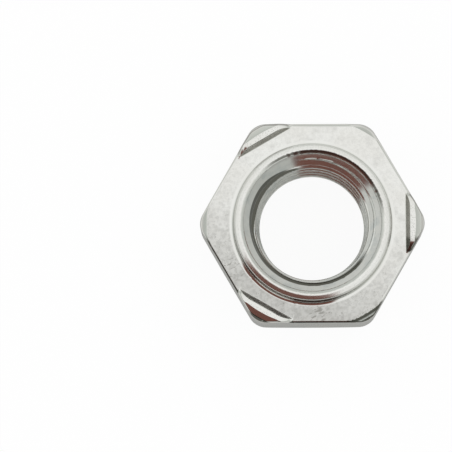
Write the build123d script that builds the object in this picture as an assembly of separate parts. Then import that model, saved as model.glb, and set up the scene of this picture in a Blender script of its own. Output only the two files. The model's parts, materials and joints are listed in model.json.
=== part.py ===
from build123d import *
import math
import os

# Hexagon weld nut with a pilot collar: one cold formed piece of steel.
# It lies on its bearing face, weld side up. The origin is the centre of the
# bearing face, +Z is the thread axis, and two corners lie on the X axis.
# All lengths are millimetres and all angles are degrees.

# Hexagon blank
across_flats = 19.0
body_height = 9.2
corner_radius = 1.7
face_edge_round = 0.3

# Bearing side: a cone turns the corners off, and a round blends it into them
bearing_land_inset = 0.5
bearing_cone_angle = 30.0
bearing_blend_radius = 1.6

# Weld side: the same, at the three corners that carry no projection
weld_corner_inset = 0.95
weld_cone_angle = 36.0
weld_blend_radius = 1.0

# Three weld projections, one on every second corner
projection_count = 3
projection_height = 0.6
projection_depth = 2.08
projection_riser_run = 0.42
projection_crown_length = 2.7
projection_end_radius = 2.2
projection_crown_inset = 1.14
projection_cone_angle = 38.0
projection_blend_radius = 1.3
projection_edge_round = 0.15
projection_foot_fillet = 0.2

# Pilot collar that centres the nut in the sheet's hole
pilot_diameter = 14.8
pilot_height = 1.4
pilot_rim = 0.2
pilot_shoulder_width = 0.4
pilot_shoulder_angle = 22.0
pilot_edge_round = 0.25
pilot_root_fillet = 0.3

# M12 x 1.75 thread, left plain at its minor diameter, with both mouths sunk
thread_major_diameter = 12.0
thread_minor_diameter = 10.106
front_sink_angle = 42.0
rear_sink_angle = 120.0
rear_sink_margin = 0.5

# Derived places
inner_radius = across_flats / 2
sharp_corner = inner_radius / math.cos(math.pi / 6)
round_corner = sharp_corner - corner_radius * (1 / math.cos(math.pi / 6) - 1)
minor_radius = thread_minor_diameter / 2
pilot_radius = pilot_diameter / 2
pilot_top = body_height + pilot_height
crown_height = body_height + projection_height
bearing_radius = inner_radius - bearing_land_inset
weld_circle_radius = sharp_corner - weld_corner_inset
crown_radius = sharp_corner - projection_crown_inset
foot_distance = sharp_corner - projection_depth
shoulder_radius = pilot_radius - pilot_shoulder_width
front_sink_radius = shoulder_radius - pilot_rim
rear_sink_radius = thread_major_diameter / 2 + rear_sink_margin
front_sink_depth = (front_sink_radius - minor_radius) / math.tan(math.radians(front_sink_angle / 2))
rear_sink_depth = (rear_sink_radius - minor_radius) / math.tan(math.radians(rear_sink_angle / 2))

# Clearance past the part for cutting bodies, and the side of a barrel that
# stands just outside the rounded corners, so that it only cuts where it turns in
overrun = 1.0
barrel_radius = round_corner + 0.05


def rounded_face(corners):
    """Face inside straight edges; each corner is (x, y, radius of its round)."""
    face = make_face(Polyline(*[(x, y) for x, y, _ in corners], close=True))
    for x, y, radius in corners:
        if radius > 0:
            face = fillet(face.vertices().sort_by_distance((x, y, 0))[0], radius)
    return face


def turned(corners):
    """Solid of revolution about Z; corners are (radius, height, round)."""
    return revolve(Plane.XZ * rounded_face(corners), Axis.Z)


def drop_along_cone(start_radius, angle):
    """Fall of a cone of this slope from a circle out to the barrel."""
    return (barrel_radius - start_radius) * math.tan(math.radians(angle))


def hexagon_prism(height):
    """Hexagon bar with rounded corners, standing on z = 0."""
    outline = RegularPolygon(inner_radius, 6, major_radius=False)
    return extrude(fillet(outline.vertices(), corner_radius), height)


def blank():
    """Hexagon body with its corners turned off at both faces."""
    bearing_fall = drop_along_cone(bearing_radius, bearing_cone_angle)
    weld_fall = drop_along_cone(weld_circle_radius, weld_cone_angle)
    barrel = turned([
        (0, 0, 0),
        (bearing_radius, 0, 0),
        (barrel_radius, bearing_fall, bearing_blend_radius),
        (barrel_radius, body_height - weld_fall, weld_blend_radius),
        (weld_circle_radius, body_height, 0),
        (0, body_height, 0),
    ])
    body = hexagon_prism(body_height) & barrel
    top_edges = body.edges().filter_by(GeomType.LINE).group_by(Axis.Z)[-1]
    return fillet(top_edges, face_edge_round)


def projection():
    """Raised corner on +X: straight inner riser, top that rolls off at both ends, conical outside."""
    root = body_height - drop_along_cone(weld_circle_radius, weld_cone_angle) - weld_blend_radius
    reach = barrel_radius + overrun
    foot_strip = projection_foot_fillet + projection_edge_round
    bar = rounded_face([
        (foot_distance - foot_strip, root, 0),
        (reach, root, 0),
        (reach, crown_height, 0),
        (foot_distance + projection_riser_run, crown_height, projection_edge_round),
        (foot_distance, body_height, projection_foot_fillet),
        (foot_distance - foot_strip, body_height, 0),
    ])
    ridge = extrude(Plane.XZ * bar, sharp_corner, both=True)
    half_length = projection_crown_length / 2 + projection_end_radius
    hood_foot = min(root, crown_height - projection_end_radius) - overrun
    hood = rounded_face([
        (-half_length, hood_foot, 0),
        (half_length, hood_foot, 0),
        (half_length, crown_height, projection_end_radius),
        (-half_length, crown_height, projection_end_radius),
    ])
    rolled_top = extrude(Plane.YZ * hood, reach)
    crown_fall = drop_along_cone(crown_radius, projection_cone_angle)
    cap = turned([
        (0, root, 0),
        (barrel_radius, root, 0),
        (barrel_radius, crown_height - crown_fall, projection_blend_radius),
        (crown_radius, crown_height, 0),
        (0, crown_height, 0),
    ])
    return ridge & rolled_top & hexagon_prism(crown_height) & cap


def pilot():
    """Collar round the thread's mouth: root fillet, straight wall, rounded edge, sloped shoulder."""
    skirt = pilot_radius + 2 * pilot_root_fillet
    root = body_height - overrun
    shoulder_fall = pilot_shoulder_width * math.tan(math.radians(pilot_shoulder_angle))
    return turned([
        (0, root, 0),
        (skirt, root, 0),
        (skirt, body_height, 0),
        (pilot_radius, body_height, pilot_root_fillet),
        (pilot_radius, pilot_top - shoulder_fall, pilot_edge_round),
        (shoulder_radius, pilot_top, 0),
        (0, pilot_top, 0),
    ])


def bore():
    """Hole at the thread's minor diameter, with a conical mouth at each end."""
    return turned([
        (0, 0, 0),
        (rear_sink_radius, 0, 0),
        (minor_radius, rear_sink_depth, 0),
        (minor_radius, pilot_top - front_sink_depth, 0),
        (front_sink_radius, pilot_top, 0),
        (0, pilot_top, 0),
    ])


def weld_nut():
    nut = blank() + pilot()
    for index in range(projection_count):
        turn = 360 / projection_count * index
        nut += Rot(0, 0, turn) * projection()
    return nut - bore()


os.makedirs("parts", exist_ok=True)
export_step(weld_nut(), "parts/weld_nut.step")
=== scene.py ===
import json
import math

import bpy
import numpy as np
from mathutils import Matrix, Vector

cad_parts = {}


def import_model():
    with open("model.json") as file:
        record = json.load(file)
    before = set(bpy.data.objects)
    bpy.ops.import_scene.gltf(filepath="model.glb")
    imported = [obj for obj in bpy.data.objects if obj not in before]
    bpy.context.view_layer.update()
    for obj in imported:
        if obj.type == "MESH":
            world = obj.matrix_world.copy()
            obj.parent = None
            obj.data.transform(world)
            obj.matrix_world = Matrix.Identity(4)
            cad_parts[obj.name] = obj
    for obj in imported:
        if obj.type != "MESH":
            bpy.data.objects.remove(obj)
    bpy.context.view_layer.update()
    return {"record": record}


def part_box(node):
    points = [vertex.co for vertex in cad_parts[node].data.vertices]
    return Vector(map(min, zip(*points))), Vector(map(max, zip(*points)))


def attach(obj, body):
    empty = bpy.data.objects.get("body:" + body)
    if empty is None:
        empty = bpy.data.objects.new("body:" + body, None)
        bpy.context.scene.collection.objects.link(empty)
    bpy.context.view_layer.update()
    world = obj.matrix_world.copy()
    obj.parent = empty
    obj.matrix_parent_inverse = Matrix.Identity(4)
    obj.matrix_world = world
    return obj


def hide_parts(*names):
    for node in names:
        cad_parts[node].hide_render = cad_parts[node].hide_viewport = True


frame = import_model()

# The nut is drawn in millimetres and scaled to metres when its mesh is made.
MM = 0.001
TAU = 2 * math.pi
NODE = "weld_nut"

# Sizes that come from the frame
low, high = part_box(NODE)
mounts = {mount["name"]: mount for mount in frame["record"]["mounts"]}
ACROSS_FLATS = (high.y - low.y) / MM
TOP = high.z / MM
PILOT_MOUNT_RADIUS = mounts["pilot_collar"]["dims"]["r_mm"]
MINOR_RADIUS = mounts["thread"]["dims"]["r_mm"]

# Sizes of the form that the CAD model has too
PILOT_HEIGHT = 1.4
SHOULDER_SLOPE = math.radians(22)
CORNER_RADIUS = 1.7
BEARING_LAND_INSET = 0.5
BEARING_CONE = math.radians(30)
BEARING_BLEND = 1.6
WELD_CORNER_INSET = 0.95
WELD_CONE = math.radians(36)
WELD_BLEND = 1.0
PROJECTIONS = 3
PROJECTION_HEIGHT = 0.6
PROJECTION_DEPTH = 2.08
RISER_RUN = 0.42
CROWN_LENGTH = 2.7
CROWN_END_RADIUS = 2.2
CROWN_INSET = 1.14
CROWN_CONE = math.radians(38)
CROWN_BLEND = 1.3
FRONT_SINK = math.radians(21)
REAR_SINK = math.radians(60)
REAR_SINK_MARGIN = 0.5
BARREL_CLEARANCE = 0.05

# Sizes that differ a little from the CAD model's, or that only the scene has, to match
# the photo. The collar: its shoulder and edge, how far its wall stands out at the top
# and further at the foot, its root, and how much wider the root is on the dull side
SHOULDER_WIDTH = 0.45
PILOT_EDGE_ROUND = 0.3
PILOT_EASE = 0.06
PILOT_DRAFT = 0.04
PILOT_ROOT_FILLET = 0.24
PILOT_ROOT_WIDENING = 0.2
# The weld face: its edge, down the side and in from it, and the edge that is rolled over
# towards one side
FACE_EDGE_DROP = 0.18
FACE_EDGE_ROUND = 0.22
FACE_EDGE_ROLL = 0.3
ROLL_SLOPE = math.radians(33)
ROLL_SIDE = math.radians(70)
# The front mouth: where its cone would meet the top, and the break that turns its edge
# off, from this radius at the top
FRONT_MOUTH = 6.65
MOUTH_BREAK = math.radians(35)
MOUTH_BREAK_TOP = 6.87

# Half widths of the soft steps between the surfaces of the weld side
CORNER_EDGE_SOFT = 0.02
CROWN_EDGE_SOFT = 0.05
CROWN_RIM_SOFT = 0.03
FOOT_SOFT = 0.1
ROLL_SOFT = 0.03
# Reach of the rounds at the other edges of the section
REAR_MOUTH_ROUND = 0.05
LAND_ROUND = 0.3
BARREL_ROUND = 0.15
SHOULDER_ROUND = 0.1
RIM_ROUND = 0.065
MOUTH_BREAK_ROUND = 0.06

# Thread: M12 x 1.75, right hand, with clearance at the root. The hole inside the crests
# widens towards the front by this taper, from this height up, as the photo seems to show
PITCH = 1.75
MAJOR_RADIUS = 6.0
ROOT_RADIUS = 6.15
THREAD_START = 0.98
FLANK_SLOPE = math.radians(28.5)
ROOT_FLAT = 0.06
ROOT_ROUND = 0.2
CREST_ROUND = 0.05
CREST_DROP = 0.6
HOLE_TAPER = 0.047
TAPER_START = 1.0

# Raggedness of the edges that the tools left, with the seed and the random values a
# turn of each: the edge of the front mouth, and burrs on the thread's last turns
MOUTH_CHIPS = 0.05
MOUTH_SEED = 3
MOUTH_TEETH = 120
BURR_HEIGHT = 0.3
BURR_SEED = 11
BURR_TEETH = 75
# Burrs stand round this side, the more focused the higher the number, from this depth
# under the top, on this last share of the pitch
BURR_SIDE = math.radians(295)
BURR_FOCUS = 3
BURR_DEPTH = 4.5
BURR_SHARE = 0.4

# Places worked out from those sizes
BODY = TOP - PILOT_HEIGHT
FLAT_RADIUS = ACROSS_FLATS / 2
SHARP_CORNER = FLAT_RADIUS / math.cos(TAU / 12)
BARREL = SHARP_CORNER - CORNER_RADIUS * (1 / math.cos(TAU / 12) - 1) + BARREL_CLEARANCE
FOOT = SHARP_CORNER - PROJECTION_DEPTH
CROWN_RADIUS = SHARP_CORNER - CROWN_INSET
WELD_CIRCLE = SHARP_CORNER - WELD_CORNER_INSET
BEARING_CIRCLE = FLAT_RADIUS - BEARING_LAND_INSET
PILOT_RADIUS = PILOT_MOUNT_RADIUS + PILOT_EASE
SHOULDER = PILOT_RADIUS - SHOULDER_WIDTH
SHOULDER_FALL = SHOULDER_WIDTH * math.tan(SHOULDER_SLOPE)
REAR_MOUTH = MAJOR_RADIUS + REAR_SINK_MARGIN

# Depths from either end at which the outer skin hands over to the bore's skin
FRONT_LIP = 1.3
REAR_LIP = 0.12

# Mesh density: samples round the axis, rows along a section, and a length and a turn of
# the section that get equally many of the rows
ROUND_SAMPLES = 384
SECTION_ROWS = 118
ROW_LENGTH = 0.5
ROW_TURN = math.radians(6)
# Points of a straight run, of the curved runs under and over the corners, and of the
# curve at an edge; shares of the crest, the flank and the root that get a point
STRAIGHT_POINTS = 40
UNDER_POINTS = 160
OVER_POINTS = 500
CURVE_POINTS = 24
CREST_SHARES = (0, 0.35, 0.7, 1)
FLANK_SHARES = (0, 0.2, 0.4, 0.6, 0.8)
ROOT_SHARES = (0, 0.33, 0.67, 1)
# Most of a run that the curve at its end may take, lengths that count as nothing, turns
# of thread below its start, and the number from which the bore's own points count
MOST_OF_RUN = 0.9
SAME_POINT = 1e-7
NO_LENGTH = 1e-12
SPARE_TURNS = 2
FREE_NUMBERS = 2 * 10 ** 7

# Studio, as reflections see it: a warm card to the front left, a dark one at the front
# and a low dark one along the front. Each has its middle and half its width, its foot and
# its top (sine of the elevation), the softness of its sides (cosine) and its colour
WARM_CARD = {"middle": math.radians(247), "half": math.radians(42), "foot": -0.2, "top": 0.945,
             "edge": 0.03, "colour": (0.17, 0.078, 0.062)}
MID_CARD = {"middle": math.radians(272), "half": math.radians(18), "foot": -1.0, "top": 0.36,
            "edge": 0.03, "colour": (0.05, 0.048, 0.042)}
LOW_CARD = {"middle": math.radians(243), "half": math.radians(64), "foot": -1.0, "top": 0.14,
            "edge": 0.2, "colour": (0.05, 0.048, 0.042)}
CARD_EDGE = 0.03
# Reflected sky: sine of the elevation and colour
SKY = [
    (0.0, (0.74, 0.76, 0.73)),
    (0.12, (0.70, 0.72, 0.69)),
    (0.2, (0.61, 0.63, 0.60)),
    (0.31, (0.53, 0.555, 0.53)),
    (0.42, (0.88, 0.89, 0.86)),
    (0.8, (0.98, 0.98, 0.97)),
    (1.0, (1.03, 1.03, 1.02)),
]
# Floor: half its side and its depth under the nut (metres), its own colour, and the
# share of plain white that the camera sees on it
FLOOR_REACH = 0.6
FLOOR_GAP = 0.00002
FLOOR_COLOUR = (0.85, 0.85, 0.85)
FLOOR_SEEN = 0.94
# Its painted shade in reflections, a painted shadow of the nut, from near the nut to far off
# (metres)
FLOOR_NEAR = (0.41, 0.41, 0.395)
FLOOR_FAR = (0.8, 0.8, 0.78)
SHADE_START = 0.011
SHADE_END = 0.03
# Under the hole, painted: darker away from the light side, and a painted reflection in the warm
# card's colour towards the card. Opposite the card that painted reflection starts at this share
# of the hole's radius
HOLE_LIGHT_SIDE = {"middle": math.radians(150)}
FLOOR_HOLE_DARK = (0.5, 0.515, 0.49)
FLOOR_HOLE_LIGHT = (0.68, 0.69, 0.665)
HOLE_CARD_REFLECTION = {"half": math.radians(46), "edge": 0.03}
HOLE_MIDDLE = 0.75
WHITE = (1, 1, 1)

# Lamp (metres and watts)
LAMP_PLACE = (0.2, 0.16, 0.4)
LAMP_AIM = (0, 0, 0)
LAMP_SIZE = 0.3
LAMP_POWER = 0.25

# Camera: distance from the weld face, lean from straight above, turn and roll, width of
# the view at that distance, and where it aims from the middle of the face (metres)
CAMERA_DISTANCE = 0.475
CAMERA_TILT = math.radians(4.3)
CAMERA_TURN = math.radians(0.45)
CAMERA_ROLL = math.radians(0.25)
CAMERA_WIDTH = 0.04303
CAMERA_AIM = (-0.00822, -0.000235, 0)
CAMERA_CLIP = (0.01, 10)
SENSOR = 36

# Reflectance of the zinc: clean, warmer, dulled, bluish, worn, in pits and in the risers'
# painted shade, and the painted dark in the thread's groove and along the edges
BRIGHT = (0.79, 0.793, 0.77)
BRIGHT_WARM = (0.765, 0.763, 0.735)
DULL = (0.54, 0.54, 0.52)
COOL = (0.62, 0.65, 0.65)
WORN = (0.42, 0.42, 0.4)
PIT_AND_RISER_SHADE = (0.2, 0.19, 0.17)
PAINTED_DARK = (0.075, 0.075, 0.06)

# Sides of the nut: where its face is duller, from where the turn of the thread's painted shade
# is counted, and the corner with painted dark lines on it
DULL_SIDE = math.radians(250)
THREAD_SIDE = math.radians(225)
DARK_LINED_CORNER = math.radians(300)

# Masks of the zinc's surfaces. A mask is the product of its rows. Each row has a
# coordinate, the place it is counted from, and where the mask starts and is full. "up" is
# the height of the surface's normal and "lean" its size, "front" and "corner" are the
# distances towards DULL_SIDE and DARK_LINED_CORNER, "past" is the turn past THREAD_SIDE,
# "jagged" and "burrs" are noises round the axis, and "mouth_line" and "circle_line" are
# the radius made ragged by the first of them
OUTSIDE = (("radius", 0, 7.8, 8.0),)
LEVEL = (("up", 0, 0.97, 0.995), *OUTSIDE)
FACE = (*LEVEL, ("z", BODY, 0.12, 0.04))
CROWN = (*LEVEL, ("z", BODY, 0.4, 0.55))
COLLAR = (("radius", PILOT_RADIUS, 0.5, 0.3), ("radius", FRONT_MOUTH, -0.05, 0.1),
          ("z", BODY, 0.05, 0.2))
SIDE = (("lean", 0, 0.45, 0.15), *OUTSIDE)
BORE = (("radius", FRONT_MOUTH, 0.1, -0.1),)
UNDER = (("up", 0, -0.6, -0.9),)
# The risers of the projections, which get painted shade
RISER = (*OUTSIDE, ("z", BODY, 0.02, 0.06), ("up", 0, 0.4, 0.5), ("up", 0, 0.72, 0.64))
RISER_FRONT = ("front", 0, 8.0, 2.0)
CORNER_SLOPE = (("corner", 0, 9.6, 9.8), ("up", 0, 0.5, 0.7))

# Masks of the painted dark: painted shade in the part of the thread's first turn that has it,
# and dark lines along the edges
GROOVE_ENDS = (("past", 0, -2.25, -2.05), ("past", 0, 1.95, 1.6), ("z", TOP, -4.2, -3.8))
MOUTH_EDGE = (("radius", 0, 6.64, 6.7), ("mouth_line", 0, 6.8, 6.7), ("z", TOP, -0.9, -0.6),
              ("front", 0, -2.6, -4.6))
FLAT_EDGE = (("radius", 0, 10.4, 10.2), ("radius", 0, 9.0, 9.2), ("up", 0, 0.985, 0.93),
             ("z", BODY, -0.4, -0.3), ("z", BODY, 0.01, -0.005), ("up", 0, 0.1, 0.25))
CORNER_EDGE = (("radius", 0, 10.2, 10.4), ("up", 0, 0.77, 0.72), ("up", 0, 0.35, 0.5),
               ("z", BODY, 0.3, 0.1))
EDGE_PARTS = (("front", 0, 4.4, 5.2), ("jagged", 0, 0.85, 0.5))
CIRCLE_EDGE = (("circle_line", WELD_CIRCLE, -0.28, -0.22),
               ("circle_line", WELD_CIRCLE, -0.05, -0.12),
               ("corner", 0, 9.5, 9.7), ("up", 0, 0.5, 0.6))
CROWN_END = (("x", 0, 8.2, 8.5), ("y", 0, -1.2, -1.7), ("up", 0, 0.99, 0.93),
             ("z", BODY, 0.02, 0.08))
COLLAR_WALL = (("radius", PILOT_RADIUS, 0.35, 0.2),
               ("radius", PILOT_RADIUS, -SHOULDER_WIDTH, -0.1), ("up", 0, 0.6, 0.35),
               ("z", BODY, 0, 0.1), ("front", 0, 4.6, 6.4))
# How ragged the two lines are, the share of the dark lines painted along the mouth, the
# collar and the crown, and the most of the painted dark anywhere
MOUTH_RAG = -0.3
CIRCLE_RAG = -0.5
EDGE_PAINTED_DARK = 0.8
MOST_PAINTED_DARK = 0.95
# The groove's painted shade lies between two radii with soft edges. Each starts at a radius and
# changes by these amounts, where the turn past THREAD_SIDE goes through the two angles.
# The inner one is jagged too, and burrs raise the outer one
GROOVE_INNER = 5.4
GROOVE_INNER_CHANGE = (("past", 0, -1.0, -0.6), 0.16)
GROOVE_JAGS = 0.1
GROOVE_OUTER = 5.62
GROOVE_OUTER_CHANGES = ((("past", 0, -2.2, -1.35), 0.41), (("past", 0, -1.0, -0.5), -0.06))
GROOVE_BURRS = (("past", 0, 0.3, 1.0), ("burrs", 0, 0.42, 0.72))
GROOVE_BURR_HEIGHT = 0.07
GROOVE_EDGE = 0.03

# Patterns: scale and detail of each noise, or the scale of its cells, and the masks made
# of them. Some follow a place stretched round, out from and along the axis, or across and
# along a direction
CLOUDS = (0.35, 3)
PATCHES = (0.9, 3)
FINE_PATCHES = (3.2, 5)
GRAIN = (9, 2)
PEEL = (2.6, 2)
PIT_FIELDS = (1.1, 1)
PIT_FIELD = (0.5, 0.66)
PIT_CELLS = 4.2
PIT_SHAPE = (0.3, 0.08)
STIPPLE_CELLS = 6.5
STIPPLE_SHAPE = (0.42, 0.1)
STREAKS = (1.5, 3)
STREAK_STRETCH = (5.0, 0.5, 0.35)
RINGS = (1.0, 2)
RING_STRETCH = (0.6, 3.0, 3.0)
SCRATCHES = (1.0, 1)
SCRATCH_SETS = (((1.1, 0.07, 0.3), 0.5, (0.66, 0.71)), ((0.8, 0.06, 0.3), 2.2, (0.67, 0.72)))
JAGS = (1.0, 4)
JAGS_ROUND = 30.0
BURR_SPOTS = (1.0, 1)
BURR_SPOTS_ROUND = 9.0
# Scarred places on the face (x, y and reach), how much of the reach is full, and the
# pattern in them
SCAR_PLACES = ((-7.6, -4.3, 1.6), (0.5, -8.8, 1.5))
FULL_SHARE = 0.3
SCARS = (3.4, 3)
SCAR_STRETCH = ((1.6, 0.7, 1.0), 0.4)
SCAR_SHAPE = (0.56, 0.62)
# The dull side: millimetres over which it comes in, and how far clouds shift it
DULL_SPAN = (0.0, 13.0)
DULL_CLOUDS = 6.0

# Shares of the colours over each other, and the values of a pattern, as pairs, between
# which a colour comes in
WARM_CLOUDS = (0.35, 0.65)
DULL_SHARE = 0.85
COOL_PATCHES = (0.4, 0.7)
COOL_SIDE_SHARE = 0.6
COOL_STREAKS = (0.45, 0.75)
COOL_BORE_SHARE = 0.8
WORN_FINE = (0.62, 0.34)
WORN_FINE_SHARE = 0.15
WORN_FINE_DULL = 0.5
WORN_PATCHES = (0.5, 0.25)
WORN_PATCHES_SHARE = 0.25
PIT_SHARE = 0.15
PIT_DULL = 0.7
PIT_SIDE = 0.5
STIPPLE_COLLAR = 0.2
STIPPLE_CROWN = 0.5
STIPPLE_CORNER = 0.5
SCAR_SHARE = 0.6
# The risers' painted shade: its share everywhere, more on the risers away from DULL_SIDE, and how
# much patches add there
RISER_SHARE = 0.12
RISER_FRONT_SHARE = 0.4
RISER_PATCHES = 0.4

# Roughness of the plain zinc, and what surfaces and patterns add to it
ROUGHNESS = 0.05
ROUGHNESS_ADDED = (
    (("grain",), 0.06), (("face",), 0.06), (("dull",), 0.2), (("collar",), 0.1),
    (("crown",), 0.1), (("side",), 0.2), (("bore", "streaks"), 0.08), (("under",), 0.16),
)
# Height of each pattern on each surface, in micrometres
GRAIN_HEIGHT = 0.25
PATTERN_HEIGHTS = (
    ("peel", (("side", 7.0), ("face", 0.6), ("under", 3.0))),
    ("grain", (("collar", 1.3), ("crown", 1.6), ("face", 0.5), ("dull", 1.2), ("side", 1.6))),
    ("stipple", (("collar", -1.4), ("crown", -2.0))),
    ("pits", (("face", -1.5), ("side", -4.0), ("dull", -3.0))),
    ("scratches", (("side", -2.0), ("face", -0.5))),
)
TOOL_MARK_HEIGHT = 1.0
MICROMETRE = MM * MM


def soft_ramp(values, width):
    """Zero below, equal to the value above, with a parabola of this half width between."""
    middle = (values + width) ** 2 / (4 * width)
    return np.where(values > width, values, np.where(values < -width, 0.0, middle))


def soft_min(first, second, width):
    """The lower of the two, with a soft step of this half width where they cross."""
    return first - soft_ramp(first - second, width)


def hexagon_radius(angle):
    """Distance from the axis to the rounded hexagon, at an angle from +X."""
    sector = TAU / 6
    off_corner = abs((angle + sector / 2) % sector - sector / 2)
    centre = (FLAT_RADIUS - CORNER_RADIUS) / math.cos(sector / 2)
    across = centre * math.sin(off_corner)
    tangent_y = CORNER_RADIUS * math.sin(sector / 2)
    tangent_x = centre + CORNER_RADIUS * math.cos(sector / 2)
    if off_corner < math.atan2(tangent_y, tangent_x):
        return centre * math.cos(off_corner) + math.sqrt(CORNER_RADIUS ** 2 - across ** 2)
    return FLAT_RADIUS / math.cos(sector / 2 - off_corner)


def turned_fall(radius, start, slope, blend):
    """How far a cone, blended into the barrel's side, has fallen at each radius."""
    centre_r = BARREL - blend
    centre_fall = (blend + (centre_r - start) * math.sin(slope)) / math.cos(slope)
    cone = np.maximum(radius - start, 0) * math.tan(slope)
    inside = np.clip(blend ** 2 - (radius - centre_r) ** 2, 0, None)
    arc = centre_fall - np.sqrt(inside)
    return np.where(radius > centre_r + blend * math.sin(slope), arc, cone)


def weld_side_height(radius, off_projection):
    """Height of the weld side at these radii, at an angle from a projection's middle."""
    cone = BODY - turned_fall(radius, WELD_CIRCLE, WELD_CONE, WELD_BLEND)
    plain = soft_min(np.full_like(radius, BODY), cone, CORNER_EDGE_SOFT)
    if abs(off_projection) > TAU / 12:
        return plain
    along = radius * math.cos(off_projection)
    aside = np.abs(radius * math.sin(off_projection))
    beyond = np.clip(aside - CROWN_LENGTH / 2, 0, CROWN_END_RADIUS)
    roll_off = CROWN_END_RADIUS - np.sqrt(CROWN_END_RADIUS ** 2 - beyond ** 2)
    riser = BODY + PROJECTION_HEIGHT * (along - FOOT) / RISER_RUN
    crown = BODY + PROJECTION_HEIGHT - roll_off
    outside = BODY + PROJECTION_HEIGHT - turned_fall(radius, CROWN_RADIUS, CROWN_CONE,
                                                     CROWN_BLEND)
    raised = soft_min(soft_min(riser, crown, CROWN_EDGE_SOFT), outside, CROWN_RIM_SOFT)
    return plain + soft_ramp(raised - plain, FOOT_SOFT)


def soften(first, second, reach_before, reach_after):
    """Joins two runs of points with a curve that leaves their corner out."""
    def trim(run, reach):
        lengths = np.linalg.norm(np.diff(run, axis=0), axis=1)
        place = np.concatenate([[0], np.cumsum(lengths)])
        cut = min(reach, MOST_OF_RUN * place[-1])
        start = np.array([np.interp(cut, place, run[:, 0]),
                          np.interp(cut, place, run[:, 1])])
        return np.vstack([start, run[place > cut]])
    before = trim(first[::-1], reach_before)[::-1]
    after = trim(second, reach_after)
    into = first[-1] - before[-1]
    out = after[0] - first[-1]
    cosine = into @ out / max(np.linalg.norm(into) * np.linalg.norm(out), NO_LENGTH)
    weight = math.sqrt(max(0.0, (1 + cosine) / 2))
    t = np.linspace(0, 1, CURVE_POINTS)[1:-1, None]
    sides = (1 - t) ** 2 + t ** 2
    middle = 2 * weight * t * (1 - t)
    ends = (1 - t) ** 2 * before[-1] + t ** 2 * after[0]
    curve = (ends + middle * first[-1]) / (sides + middle)
    return np.vstack([before, curve, after])


def straight(start, end):
    return np.linspace(start, end, STRAIGHT_POINTS)


def ragged(angle, seed, per_turn):
    """Smooth noise between 0 and 1 round the axis, with this many random values a turn."""
    values = np.random.default_rng(seed).random(per_turn)
    place = (np.asarray(angle) / TAU % 1) * per_turn
    first = np.floor(place).astype(int)
    share = place - first
    share = share * share * (3 - 2 * share)
    return values[first % per_turn] * (1 - share) + values[(first + 1) % per_turn] * share


def mouth_chip(angle):
    """How far the edge of the front mouth is off its radius, ragged from the tool."""
    return MOUTH_CHIPS * (ragged(angle, MOUTH_SEED, MOUTH_TEETH) - 0.5)


def section(angle):
    """Section of the outer skin at an angle, from the rear mouth round to the front one."""
    edge = hexagon_radius(angle)
    third = TAU / PROJECTIONS
    off_projection = (angle + third / 2) % third - third / 2
    spread = np.sin(np.linspace(0, TAU / 4, UNDER_POINTS))
    under = BEARING_CIRCLE + (edge - BEARING_CIRCLE) * spread
    under_height = turned_fall(under, BEARING_CIRCLE, BEARING_CONE, BEARING_BLEND)
    foot = PILOT_RADIUS + PILOT_DRAFT
    over = foot + (edge - foot) * np.sin(np.linspace(0, TAU / 4, OVER_POINTS))[::-1]
    roll = FACE_EDGE_ROLL * max(0, math.cos(angle - ROLL_SIDE))
    over_height = (weld_side_height(over, off_projection)
                   - math.tan(ROLL_SLOPE) * soft_ramp(over - edge + roll, ROLL_SOFT))
    root_reach = PILOT_ROOT_FILLET + PILOT_ROOT_WIDENING * max(0, math.cos(angle - DULL_SIDE))
    edge_reach = PILOT_EDGE_ROUND * math.tan((TAU / 4 - SHOULDER_SLOPE) / 2)
    mouth = MOUTH_BREAK_TOP + mouth_chip(angle)
    break_fall = (mouth - FRONT_MOUTH) / (1 / math.tan(MOUTH_BREAK) - math.tan(FRONT_SINK))
    break_radius = FRONT_MOUTH - break_fall * math.tan(FRONT_SINK)
    lip_in = FRONT_LIP * math.tan(FRONT_SINK)
    rear_in = REAR_LIP * math.tan(REAR_SINK)
    # Each run of points, with the reach of the round before and after the corner at its end
    runs = [
        (straight((REAR_MOUTH - rear_in, REAR_LIP), (REAR_MOUTH, 0)),
         REAR_MOUTH_ROUND, REAR_MOUTH_ROUND),
        (straight((REAR_MOUTH, 0), (BEARING_CIRCLE, 0)), LAND_ROUND, LAND_ROUND),
        (np.column_stack([under, under_height]), BARREL_ROUND, BARREL_ROUND),
        (straight((edge, under_height[-1]), (edge, over_height[0])),
         FACE_EDGE_DROP, FACE_EDGE_ROUND),
        (np.column_stack([over, over_height]), root_reach, root_reach),
        (straight((foot, BODY), (PILOT_RADIUS, TOP - SHOULDER_FALL)), edge_reach, edge_reach),
        (straight((PILOT_RADIUS, TOP - SHOULDER_FALL), (SHOULDER, TOP)),
         SHOULDER_ROUND, SHOULDER_ROUND),
        (straight((SHOULDER, TOP), (mouth, TOP)), RIM_ROUND, RIM_ROUND),
        (straight((mouth, TOP), (break_radius, TOP - break_fall)),
         MOUTH_BREAK_ROUND, MOUTH_BREAK_ROUND),
        (straight((break_radius, TOP - break_fall),
                  (FRONT_MOUTH - lip_in, TOP - FRONT_LIP)), 0, 0),
    ]
    outline, *reach = runs[0]
    for run, *next_reach in runs[1:]:
        outline = soften(outline, run, *reach)
        reach = next_reach
    return outline


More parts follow.
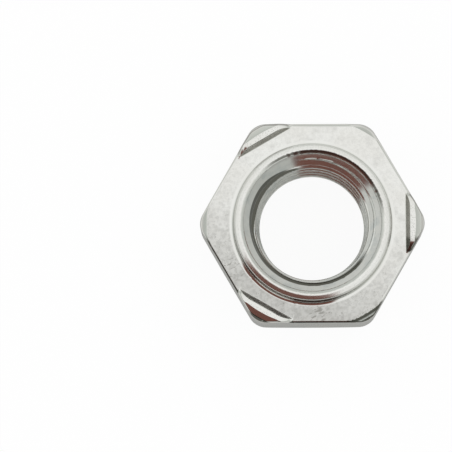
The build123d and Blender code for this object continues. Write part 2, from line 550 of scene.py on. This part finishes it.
def spread_rows(outline, count):
    """The same outline with this many points, closer together where it turns."""
    steps = np.diff(outline, axis=0)
    lengths = np.linalg.norm(steps, axis=1)
    keep = np.concatenate([[True], lengths > SAME_POINT])
    outline = outline[keep]
    steps = np.diff(outline, axis=0)
    lengths = np.linalg.norm(steps, axis=1)
    heading = np.unwrap(np.arctan2(steps[:, 1], steps[:, 0]))
    turns = np.abs(np.diff(heading))
    shared = np.zeros(len(lengths))
    shared[:-1] += turns / 2
    shared[1:] += turns / 2
    cost = lengths / ROW_LENGTH + shared / ROW_TURN
    place = np.concatenate([[0], np.cumsum(cost)])
    wanted = np.linspace(0, place[-1], count)
    return np.column_stack([np.interp(wanted, place, outline[:, 0]),
                            np.interp(wanted, place, outline[:, 1])])


def ring_points(radius, height, angle):
    """Points at these radii, heights and angles round the axis."""
    return np.column_stack([radius * np.cos(angle), radius * np.sin(angle), height])


def outer_skin():
    """Points and faces of everything outside the two mouths, row by row."""
    angles = np.arange(ROUND_SAMPLES) * TAU / ROUND_SAMPLES
    sections = np.array([spread_rows(section(a), SECTION_ROWS) for a in angles])
    points = [ring_points(sections[:, row, 0], sections[:, row, 1], angles)
              for row in range(SECTION_ROWS)]
    faces = []
    for row in range(SECTION_ROWS - 1):
        for i in range(ROUND_SAMPLES):
            j = (i + 1) % ROUND_SAMPLES
            below = row * ROUND_SAMPLES
            above = below + ROUND_SAMPLES
            faces.append((below + i, below + j, above + j, above + i))
    return np.vstack(points), faces


def thread_stations(crest):
    """Shares of the pitch and radii along one pitch of the thread, from the middle of
    a crest at this radius, over a groove with straight flanks and a round root."""
    tangent_radius = ROOT_RADIUS - ROOT_ROUND * (1 - math.sin(FLANK_SLOPE))
    tangent_half = ROOT_FLAT / 2 + ROOT_ROUND * math.cos(FLANK_SLOPE)
    opening = tangent_half + (tangent_radius - crest) * math.tan(FLANK_SLOPE)
    middle = PITCH / 2
    edge = middle - opening
    drop = CREST_ROUND * CREST_DROP
    half = [(share * (edge - CREST_ROUND), crest) for share in CREST_SHARES]
    flank_start = (edge + drop * math.tan(FLANK_SLOPE), crest + drop)
    flank_end = (middle - tangent_half, tangent_radius)
    for share in FLANK_SHARES:
        half.append(tuple(first + share * (last - first)
                          for first, last in zip(flank_start, flank_end)))
    for turn in ROOT_SHARES:
        lean = FLANK_SLOPE + turn * (TAU / 4 - FLANK_SLOPE)
        half.append((np.full_like(crest, middle - ROOT_FLAT / 2 - ROOT_ROUND * math.cos(lean)),
                     np.full_like(crest, ROOT_RADIUS - ROOT_ROUND * (1 - math.sin(lean)))))
    other = [(PITCH - place, radius) for place, radius in half[:0:-1]]
    return half + other


def bore_skin(first_ring, last_ring):
    """Grid of points of the threaded bore, one pitch of the thread in each column, and
    the number of each: its own, or that of a point on one of the outer skin's end rings."""
    z_low = REAR_LIP
    z_high = TOP - FRONT_LIP
    turns = math.ceil(TOP / PITCH) + SPARE_TURNS
    columns = turns * ROUND_SAMPLES
    column = np.arange(columns + ROUND_SAMPLES)
    angles = column * TAU / ROUND_SAMPLES
    rise = PITCH * (column / ROUND_SAMPLES - SPARE_TURNS) + THREAD_START
    crest = MINOR_RADIUS + HOLE_TAPER * np.maximum(rise + PITCH / 2 - TAPER_START, 0)
    stations = thread_stations(crest)
    on_side = np.clip(BURR_FOCUS * np.cos(angles - BURR_SIDE) - (BURR_FOCUS - 1), 0, 1)
    at_front = np.clip(rise - (TOP - BURR_DEPTH), 0, 1)
    teeth = np.clip(2 * ragged(angles, BURR_SEED, BURR_TEETH) - 1, 0, None)
    burr = BURR_HEIGHT * teeth * on_side * at_front
    grid = np.empty((len(column), len(stations), 3))
    ids = np.empty((len(column), len(stations)), int)
    for s, (place, cut) in enumerate(stations):
        on_burr = np.clip(place / PITCH - (1 - BURR_SHARE), 0, BURR_SHARE)
        z = rise + place + burr * on_burr / BURR_SHARE
        front = FRONT_MOUTH - (TOP - z) * math.tan(FRONT_SINK)
        rear = REAR_MOUTH - z * math.tan(REAR_SINK)
        radius = np.maximum(np.maximum(cut, front), rear)
        grid[:, s] = ring_points(radius, z, angles)
        ids[:, s] = FREE_NUMBERS + column * len(stations) + s
        ring = column % ROUND_SAMPLES
        ids[:, s] = np.where(z >= z_high, last_ring + ring, ids[:, s])
        ids[:, s] = np.where(z <= z_low, first_ring + ring, ids[:, s])
    return grid, ids


def nut_mesh():
    """The whole nut as one closed mesh: outer skin and bore share their end rings."""
    skin, faces = outer_skin()
    grid, ids = bore_skin(0, (SECTION_ROWS - 1) * ROUND_SAMPLES)
    used = np.unique(ids[ids >= FREE_NUMBERS])
    flat_points = grid.reshape(-1, 3)
    bore_points = flat_points[used - FREE_NUMBERS]
    number = {int(old): len(skin) + k for k, old in enumerate(used)}
    columns, stations = ids.shape

    def vertex(c, s):
        c, s = c + ROUND_SAMPLES * (s // stations), s % stations
        found = int(ids[c, s])
        return number.get(found, found)

    for c in range(columns - ROUND_SAMPLES - 1):
        for s in range(stations):
            corners = [vertex(c, s), vertex(c, s + 1), vertex(c + 1, s + 1), vertex(c + 1, s)]
            face = [v for k, v in enumerate(corners) if v != corners[k - 1]]
            if len(face) > 2:
                faces.append(tuple(face))
    mesh = bpy.data.meshes.new(NODE)
    mesh.from_pydata((np.vstack([skin, bore_points]) * MM).tolist(), [], faces)
    mesh.validate()
    mesh.update()
    return mesh


def nut_object(material):
    """The nut in place of the CAD node, on the part's only body."""
    nut = bpy.data.objects.new("nut_finish", nut_mesh())
    bpy.context.scene.collection.objects.link(nut)
    nut.data.materials.append(material)
    for polygon in nut.data.polygons:
        polygon.use_smooth = True
    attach(nut, "root")
    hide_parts(NODE)


def math_node(nodes, links, operation, *values):
    """A Math node; each value is a number or the socket that drives it."""
    node = nodes.new("ShaderNodeMath")
    node.operation = operation
    for socket, value in zip(node.inputs, values):
        if isinstance(value, (int, float)):
            socket.default_value = value
        else:
            links.new(value, socket)
    return node.outputs[0]


def ramp(nodes, links, value, start, end, smooth=False):
    """0 at the start and 1 at the end, straight or as a smooth step."""
    node = nodes.new("ShaderNodeMapRange")
    node.interpolation_type = "SMOOTHSTEP" if smooth else "LINEAR"
    node.inputs["From Min"].default_value = start
    node.inputs["From Max"].default_value = end
    links.new(value, node.inputs["Value"])
    return node.outputs[0]


def mix_colour(nodes, links, share, first, second):
    """Mix of two colours; each is a tuple or the socket that drives it."""
    node = nodes.new("ShaderNodeMixRGB")
    links.new(share, node.inputs["Fac"])
    for name, value in (("Color1", first), ("Color2", second)):
        if isinstance(value, tuple):
            node.inputs[name].default_value = (*value, 1)
        else:
            links.new(value, node.inputs[name])
    return node.outputs[0]


class ZincNodes:
    """Shorthand for the zinc material's nodes; lengths in it are millimetres."""

    def __init__(self, material):
        self.nodes = material.node_tree.nodes
        self.links = material.node_tree.links
        coordinates = self.nodes.new("ShaderNodeTexCoord")
        scale = self.nodes.new("ShaderNodeMapping")
        scale.inputs["Scale"].default_value = (1 / MM, 1 / MM, 1 / MM)
        self.links.new(coordinates.outputs["Object"], scale.inputs["Vector"])
        self.place = scale.outputs[0]
        split = self.nodes.new("ShaderNodeSeparateXYZ")
        self.links.new(self.place, split.inputs[0])
        self.x, self.y, self.z = split.outputs
        self.radius = self.length(self.x, self.y)
        self.turn = self.maths("ARCTAN2", self.y, self.x)
        normal = self.nodes.new("ShaderNodeNewGeometry")
        split = self.nodes.new("ShaderNodeSeparateXYZ")
        self.links.new(normal.outputs["Normal"], split.inputs[0])
        self.up = split.outputs["Z"]
        self.lean = self.maths("ABSOLUTE", self.up)
        self.front = self.turned(DULL_SIDE)[0]
        self.corner = self.turned(DARK_LINED_CORNER)[0]
        ahead, aside = self.turned(THREAD_SIDE)
        self.past = self.maths("ARCTAN2", aside, ahead)

    def maths(self, operation, *values):
        return math_node(self.nodes, self.links, operation, *values)

    def times(self, first, *others):
        for other in others:
            first = self.maths("MULTIPLY", first, other)
        return first

    def total(self, first, *others):
        for other in others:
            first = self.maths("ADD", first, other)
        return first

    def length(self, first, second):
        return self.maths("SQRT", self.total(self.times(first, first),
                                             self.times(second, second)))

    def step(self, value, start, end):
        return ramp(self.nodes, self.links, value, start, end, True)

    def part(self, name, origin, start, end):
        """Smooth step of the coordinate of this name, counted from a place."""
        return self.step(getattr(self, name), origin + start, origin + end)

    def mask(self, rows, *shares):
        """Product of the rows' smooth steps and of the shares."""
        return self.times(*(self.part(*row) for row in rows), *shares)

    def mix(self, share, first, second):
        return mix_colour(self.nodes, self.links, share, first, second)

    def stretched(self, scale, turn):
        """The place in a frame stretched along its axes and turned."""
        node = self.nodes.new("ShaderNodeMapping")
        node.inputs["Scale"].default_value = scale
        node.inputs["Rotation"].default_value = (0, 0, turn)
        node.vector_type = "TEXTURE"
        self.links.new(self.place, node.inputs["Vector"])
        return node.outputs[0]

    def vector(self, *values):
        node = self.nodes.new("ShaderNodeCombineXYZ")
        for socket, value in zip(node.inputs, values):
            if isinstance(value, float):
                socket.default_value = value
            else:
                self.links.new(value, socket)
        return node.outputs[0]

    def rolled(self, stretch):
        """The place round, out from and along the axis, each times its stretch."""
        places = (self.turn, self.radius, self.z)
        return self.vector(*(self.times(place, scale) for place, scale in zip(places, stretch)))

    def around(self, scale):
        """A place that changes with the turn round the axis alone."""
        return self.vector(self.times(self.turn, scale), 0.0, 0.0)

    def turned(self, angle):
        """The place across and up in a frame turned by this angle."""
        cosine, sine = math.cos(angle), math.sin(angle)
        return (self.total(self.times(self.x, cosine), self.times(self.y, sine)),
                self.total(self.times(self.x, -sine), self.times(self.y, cosine)))

    def near(self, x, y, reach):
        """1 at a place on the face, falling to 0 at this distance from it."""
        distance = self.length(self.maths("SUBTRACT", self.x, x),
                               self.maths("SUBTRACT", self.y, y))
        return self.step(distance, reach, FULL_SHARE * reach)

    def noise(self, scale, detail, place=None):
        node = self.nodes.new("ShaderNodeTexNoise")
        node.inputs["Scale"].default_value = scale
        node.inputs["Detail"].default_value = detail
        self.links.new(place or self.place, node.inputs["Vector"])
        return node.outputs["Fac"]

    def cells(self, scale):
        node = self.nodes.new("ShaderNodeTexVoronoi")
        node.inputs["Scale"].default_value = scale
        self.links.new(self.place, node.inputs["Vector"])
        return node.outputs["Distance"]


def add_surfaces(zinc):
    """Where each kind of surface lies."""
    zinc.face = zinc.mask(FACE)
    zinc.crown = zinc.mask(CROWN)
    zinc.collar = zinc.mask(COLLAR)
    zinc.side = zinc.mask(SIDE)
    zinc.bore = zinc.mask(BORE)
    zinc.under = zinc.mask(UNDER)
    zinc.riser = zinc.mask(RISER)


def add_patterns(zinc):
    """Clouds in the coat, grain, orange peel of the formed flats, pits, the marks of the
    tools that turned in the bore, and the dull, scarred side of the weld face."""
    zinc.clouds = zinc.noise(*CLOUDS)
    zinc.patches = zinc.noise(*PATCHES)
    zinc.grain = zinc.noise(*GRAIN)
    zinc.peel = zinc.noise(*PEEL)
    zinc.pits = zinc.times(zinc.step(zinc.cells(PIT_CELLS), *PIT_SHAPE),
                           zinc.step(zinc.noise(*PIT_FIELDS), *PIT_FIELD))
    zinc.stipple = zinc.step(zinc.cells(STIPPLE_CELLS), *STIPPLE_SHAPE)
    zinc.streaks = zinc.noise(*STREAKS, zinc.rolled(STREAK_STRETCH))
    zinc.rings = zinc.noise(*RINGS, zinc.rolled(RING_STRETCH))
    zinc.scratches = zinc.maths("MAXIMUM", *(
        zinc.step(zinc.noise(*SCRATCHES, zinc.stretched(stretch, turn)), *shape)
        for stretch, turn, shape in SCRATCH_SETS))
    zinc.dull = zinc.times(
        zinc.step(zinc.total(zinc.front, zinc.times(zinc.clouds, DULL_CLOUDS)), *DULL_SPAN),
        zinc.face)
    scar_places = zinc.maths("MAXIMUM", *(zinc.near(*place) for place in SCAR_PLACES))
    zinc.scars = zinc.times(
        scar_places, zinc.step(zinc.noise(*SCARS, zinc.stretched(*SCAR_STRETCH)), *SCAR_SHAPE),
        zinc.face)


def groove_painted_shade(zinc):
    """Painted shade in the thread's first turn, between two ragged radii."""
    times, total = zinc.times, zinc.total
    row, change = GROOVE_INNER_CHANGE
    inner = total(GROOVE_INNER, times(zinc.part(*row), change), times(zinc.jagged, GROOVE_JAGS))
    outer = total(GROOVE_OUTER,
                  *(times(zinc.part(*row), change) for row, change in GROOVE_OUTER_CHANGES),
                  zinc.mask(GROOVE_BURRS, GROOVE_BURR_HEIGHT))
    past_inner = total(zinc.radius, times(inner, -1.0))
    past_outer = total(zinc.radius, times(outer, -1.0))
    return times(zinc.step(past_inner, -GROOVE_EDGE, GROOVE_EDGE),
                 zinc.step(past_outer, GROOVE_EDGE, -GROOVE_EDGE),
                 *(zinc.part(*row) for row in GROOVE_ENDS))


def painted_dark_mask(zinc):
    """Painted dark: painted shade in the thread's first turn, and dark lines painted along the
    front mouth's edge, and along the edges of the weld face and the collar on the dull side."""
    zinc.jagged = zinc.noise(*JAGS, zinc.around(JAGS_ROUND))
    zinc.burrs = zinc.noise(*BURR_SPOTS, zinc.around(BURR_SPOTS_ROUND))
    zinc.mouth_line = zinc.total(zinc.radius, zinc.times(zinc.jagged, MOUTH_RAG))
    zinc.circle_line = zinc.total(zinc.radius, zinc.times(zinc.jagged, CIRCLE_RAG))
    edges = zinc.times(zinc.total(zinc.mask(FLAT_EDGE), zinc.mask(CORNER_EDGE)),
                       *(zinc.part(*row) for row in EDGE_PARTS))
    everywhere = zinc.total(groove_painted_shade(zinc), zinc.mask(MOUTH_EDGE, EDGE_PAINTED_DARK), edges,
                            zinc.mask(CIRCLE_EDGE), zinc.mask(COLLAR_WALL, EDGE_PAINTED_DARK),
                            zinc.mask(CROWN_END, EDGE_PAINTED_DARK))
    return zinc.maths("MINIMUM", everywhere, MOST_PAINTED_DARK)


def zinc_colour(zinc):
    """Colour of the zinc, with its finishes, the risers' painted shade and the painted dark of the
    groove and the edges laid over each other.
    """
    step, times, total = zinc.step, zinc.times, zinc.total
    worn = total(
        times(step(zinc.noise(*FINE_PATCHES), *WORN_FINE),
              total(WORN_FINE_SHARE, times(zinc.dull, WORN_FINE_DULL))),
        times(step(zinc.patches, *WORN_PATCHES), WORN_PATCHES_SHARE))
    # Pits, stipple and scars, and the risers' painted shade
    spots_and_riser_shade = total(
        times(zinc.pits, total(PIT_SHARE, times(zinc.dull, PIT_DULL)), zinc.face),
        times(zinc.stipple, zinc.collar, STIPPLE_COLLAR),
        times(zinc.stipple, zinc.crown, STIPPLE_CROWN),
        times(zinc.pits, zinc.side, PIT_SIDE),
        times(zinc.scars, SCAR_SHARE),
        # Painted shade on the projections' risers, more of it away from DULL_SIDE
        times(zinc.riser, zinc.part(*RISER_FRONT),
              total(RISER_FRONT_SHARE, times(zinc.patches, RISER_PATCHES))),
        times(zinc.riser, RISER_SHARE),
        times(zinc.stipple, *(zinc.part(*row) for row in CORNER_SLOPE), STIPPLE_CORNER))
    layers = (
        (times(zinc.dull, DULL_SHARE), DULL),
        (times(zinc.side, step(zinc.patches, *COOL_PATCHES), COOL_SIDE_SHARE), COOL),
        (times(zinc.bore, step(zinc.streaks, *COOL_STREAKS), COOL_BORE_SHARE), COOL),
        (times(worn, zinc.face), WORN),
        (spots_and_riser_shade, PIT_AND_RISER_SHADE),
        # Painted shade in the thread's groove, and dark lines painted along the edges
        (painted_dark_mask(zinc), PAINTED_DARK),
    )
    colour = zinc.mix(step(zinc.clouds, *WARM_CLOUDS), BRIGHT, BRIGHT_WARM)
    for share, shade in layers:
        colour = zinc.mix(share, colour, shade)
    return colour


def zinc_roughness(zinc):
    return zinc.total(ROUGHNESS, *(zinc.times(*(getattr(zinc, name) for name in names), weight)
                                   for names, weight in ROUGHNESS_ADDED))


def zinc_height(zinc):
    """Height of the finish, in micrometres."""
    patterns = [
        zinc.times(getattr(zinc, pattern),
                   zinc.total(*(zinc.times(getattr(zinc, surface), height)
                                for surface, height in heights)))
        for pattern, heights in PATTERN_HEIGHTS]
    return zinc.total(zinc.times(zinc.grain, GRAIN_HEIGHT), *patterns,
                      zinc.times(zinc.streaks, zinc.bore, TOOL_MARK_HEIGHT),
                      zinc.times(zinc.rings, zinc.bore, TOOL_MARK_HEIGHT))


def zinc_material():
    """Bright zinc on cold formed steel, with its own finish on each kind of surface."""
    material = bpy.data.materials.new("bright_zinc")
    material.use_nodes = True
    zinc = ZincNodes(material)
    add_surfaces(zinc)
    add_patterns(zinc)
    bump = zinc.nodes.new("ShaderNodeBump")
    bump.inputs["Strength"].default_value = 1.0
    bump.inputs["Distance"].default_value = MICROMETRE
    zinc.links.new(zinc_height(zinc), bump.inputs["Height"])
    shader = zinc.nodes["Principled BSDF"]
    shader.inputs["Metallic"].default_value = 1.0
    zinc.links.new(zinc_colour(zinc), shader.inputs["Base Color"])
    zinc.links.new(zinc_roughness(zinc), shader.inputs["Roughness"])
    zinc.links.new(bump.outputs[0], shader.inputs["Normal"])
    return material


def floor(material):
    """Plain floor just under the nut."""
    corners = [(x * FLOOR_REACH, y * FLOOR_REACH, -FLOOR_GAP)
               for x, y in ((-1, -1), (1, -1), (1, 1), (-1, 1))]
    mesh = bpy.data.meshes.new("floor")
    mesh.from_pydata(corners, [], [(0, 1, 2, 3)])
    plane = bpy.data.objects.new("floor", mesh)
    bpy.context.scene.collection.objects.link(plane)
    plane.data.materials.append(material)


def wedge(nodes, links, direction, card):
    """Cosine of the angle round the axis from this direction to a card's middle."""
    flat = nodes.new("ShaderNodeVectorMath")
    flat.operation = "MULTIPLY"
    flat.inputs[1].default_value = (1, 1, 0)
    links.new(direction, flat.inputs[0])
    unit = nodes.new("ShaderNodeVectorMath")
    unit.operation = "NORMALIZE"
    links.new(flat.outputs[0], unit.inputs[0])
    towards = nodes.new("ShaderNodeVectorMath")
    towards.operation = "DOT_PRODUCT"
    towards.inputs[1].default_value = (math.cos(card["middle"]), math.sin(card["middle"]), 0)
    links.new(unit.outputs[0], towards.inputs[0])
    return towards.outputs["Value"]


def card_mask(nodes, links, cosine, card):
    """Mask of a card's width, from the cosine of the angle to its middle."""
    return ramp(nodes, links, cosine, math.cos(card["half"]) - card["edge"],
                math.cos(card["half"]) + card["edge"])


def glossy_mix(nodes, links, plain, mirrored, output):
    """Shows one shader to the camera and to diffuse light, the other to reflections."""
    path = nodes.new("ShaderNodeLightPath")
    mix = nodes.new("ShaderNodeMixShader")
    links.new(path.outputs["Is Glossy Ray"], mix.inputs[0])
    links.new(plain, mix.inputs[1])
    links.new(mirrored, mix.inputs[2])
    links.new(mix.outputs[0], output.inputs["Surface"])


def floor_shade(nodes, links):
    """Painted shade of the floor in reflections, by the place on it: a painted shadow round the
    nut, painted shade under the hole and a painted reflection of the warm card there.
    """
    place = nodes.new("ShaderNodeNewGeometry").outputs["Position"]
    reach = nodes.new("ShaderNodeVectorMath")
    reach.operation = "LENGTH"
    links.new(place, reach.inputs[0])
    distance = reach.outputs["Value"]
    hole = MINOR_RADIUS * MM
    # Painted shadow of the nut, lighter away from it
    away = ramp(nodes, links, distance, SHADE_START, SHADE_END)
    shade = mix_colour(nodes, links, away, FLOOR_NEAR, FLOOR_FAR)
    # Painted shade under the hole, darker away from the light side
    lighter = ramp(nodes, links, wedge(nodes, links, place, HOLE_LIGHT_SIDE), -1, 1)
    hole_shade = mix_colour(nodes, links, lighter, FLOOR_HOLE_DARK, FLOOR_HOLE_LIGHT)
    in_hole = math_node(nodes, links, "LESS_THAN", distance, hole)
    shade = mix_colour(nodes, links, in_hole, shade, hole_shade)
    # Painted reflection of the warm card on the floor under the hole
    cosine = wedge(nodes, links, place, WARM_CARD)
    opposite = math_node(nodes, links, "MULTIPLY", cosine, -1)
    off_middle = math_node(nodes, links, "GREATER_THAN", distance, hole * HOLE_MIDDLE)
    across = math_node(nodes, links, "MULTIPLY", opposite, off_middle)
    either = math_node(nodes, links, "MAXIMUM", cosine, across)
    warm = math_node(nodes, links, "MULTIPLY", card_mask(nodes, links, either, HOLE_CARD_REFLECTION), in_hole)
    return mix_colour(nodes, links, warm, shade, WARM_CARD["colour"])


def floor_material():
    """Pale floor: white to the camera; to the metal it glows in painted shade, with a painted
    shadow and a painted reflection.
    """
    material = bpy.data.materials.new("floor_white")
    material.use_nodes = True
    nodes = material.node_tree.nodes
    links = material.node_tree.links
    nodes.clear()
    output = nodes.new("ShaderNodeOutputMaterial")
    diffuse = nodes.new("ShaderNodeBsdfDiffuse")
    diffuse.inputs["Color"].default_value = (*FLOOR_COLOUR, 1)
    white = nodes.new("ShaderNodeEmission")
    white.inputs["Color"].default_value = (*WHITE, 1)
    white.inputs["Strength"].default_value = 1.0
    path = nodes.new("ShaderNodeLightPath")
    share = math_node(nodes, links, "MULTIPLY", path.outputs["Is Camera Ray"], FLOOR_SEEN)
    seen = nodes.new("ShaderNodeMixShader")
    links.new(share, seen.inputs[0])
    links.new(diffuse.outputs[0], seen.inputs[1])
    links.new(white.outputs[0], seen.inputs[2])
    mirrored = nodes.new("ShaderNodeEmission")
    links.new(floor_shade(nodes, links), mirrored.inputs["Color"])
    glossy_mix(nodes, links, seen.outputs[0], mirrored.outputs[0], output)
    return material


def card_over(nodes, links, below, direction, height, card):
    """The colour below, with a card in front of it from its foot up to its top."""
    low = ramp(nodes, links, height, card["top"] + CARD_EDGE, card["top"] - CARD_EDGE)
    high = ramp(nodes, links, height, card["foot"] - CARD_EDGE, card["foot"] + CARD_EDGE)
    sides = card_mask(nodes, links, wedge(nodes, links, direction, card), card)
    share = math_node(nodes, links, "MULTIPLY", sides,
                      math_node(nodes, links, "MULTIPLY", low, high))
    return mix_colour(nodes, links, share, below, card["colour"])


def world():
    """White for the camera and for diffuse light; a soft studio for reflections."""
    scene_world = bpy.data.worlds.new("studio")
    bpy.context.scene.world = scene_world
    scene_world.use_nodes = True
    nodes = scene_world.node_tree.nodes
    links = scene_world.node_tree.links
    nodes.clear()
    output = nodes.new("ShaderNodeOutputWorld")
    coordinates = nodes.new("ShaderNodeTexCoord")
    direction = coordinates.outputs["Generated"]
    axes = nodes.new("ShaderNodeSeparateXYZ")
    links.new(direction, axes.inputs[0])
    height = axes.outputs["Z"]

    sky = nodes.new("ShaderNodeValToRGB")
    stops = sky.color_ramp
    stops.elements[0].position = SKY[0][0]
    stops.elements[1].position = SKY[-1][0]
    for place, _ in SKY[1:-1]:
        stops.elements.new(place)
    for element, (_, shade) in zip(stops.elements, SKY):
        element.color = (*shade, 1)
    links.new(height, sky.inputs["Fac"])
    colour = sky.outputs["Color"]
    for card in (WARM_CARD, MID_CARD, LOW_CARD):
        colour = card_over(nodes, links, colour, direction, height, card)

    studio = nodes.new("ShaderNodeBackground")
    links.new(colour, studio.inputs["Color"])
    plain = nodes.new("ShaderNodeBackground")
    plain.inputs["Color"].default_value = (*WHITE, 1)
    plain.inputs["Strength"].default_value = 1.0
    glossy_mix(nodes, links, plain.outputs[0], studio.outputs[0], output)


def key_lamp():
    """Soft lamp over the nut, which reflections don't see."""
    data = bpy.data.lights.new("key", "AREA")
    data.shape = "DISK"
    data.size = LAMP_SIZE
    data.energy = LAMP_POWER
    lamp = bpy.data.objects.new("key", data)
    lamp.location = LAMP_PLACE
    towards = Vector(LAMP_AIM) - Vector(LAMP_PLACE)
    lamp.rotation_euler = towards.to_track_quat("-Z", "Y").to_euler()
    lamp.visible_glossy = False
    bpy.context.scene.collection.objects.link(lamp)


def camera():
    """Looks down on the weld face, a little from -Y, with the nut right of the middle."""
    centre = Vector((0, 0, BODY * MM))
    away = Vector((-math.sin(CAMERA_TURN), -math.sin(CAMERA_TILT), math.cos(CAMERA_TILT)))
    place = centre + CAMERA_DISTANCE * away.normalized()
    aim = centre + Vector(CAMERA_AIM)
    forward = (aim - place).normalized()
    upright = Vector((math.sin(CAMERA_ROLL), math.cos(CAMERA_ROLL), 0))
    right = forward.cross(upright).normalized()
    up = right.cross(forward)
    data = bpy.data.cameras.new("camera")
    data.sensor_width = SENSOR
    data.lens = SENSOR * CAMERA_DISTANCE / CAMERA_WIDTH
    data.clip_start, data.clip_end = CAMERA_CLIP
    holder = bpy.data.objects.new("camera", data)
    turned = Matrix((right, up, -forward)).transposed()
    holder.matrix_world = Matrix.Translation(place) @ turned.to_4x4()
    bpy.context.scene.collection.objects.link(holder)
    bpy.context.scene.camera = holder


camera()
nut_object(zinc_material())
floor(floor_material())
world()
key_lamp()
bpy.context.scene.view_settings.view_transform = "Standard"
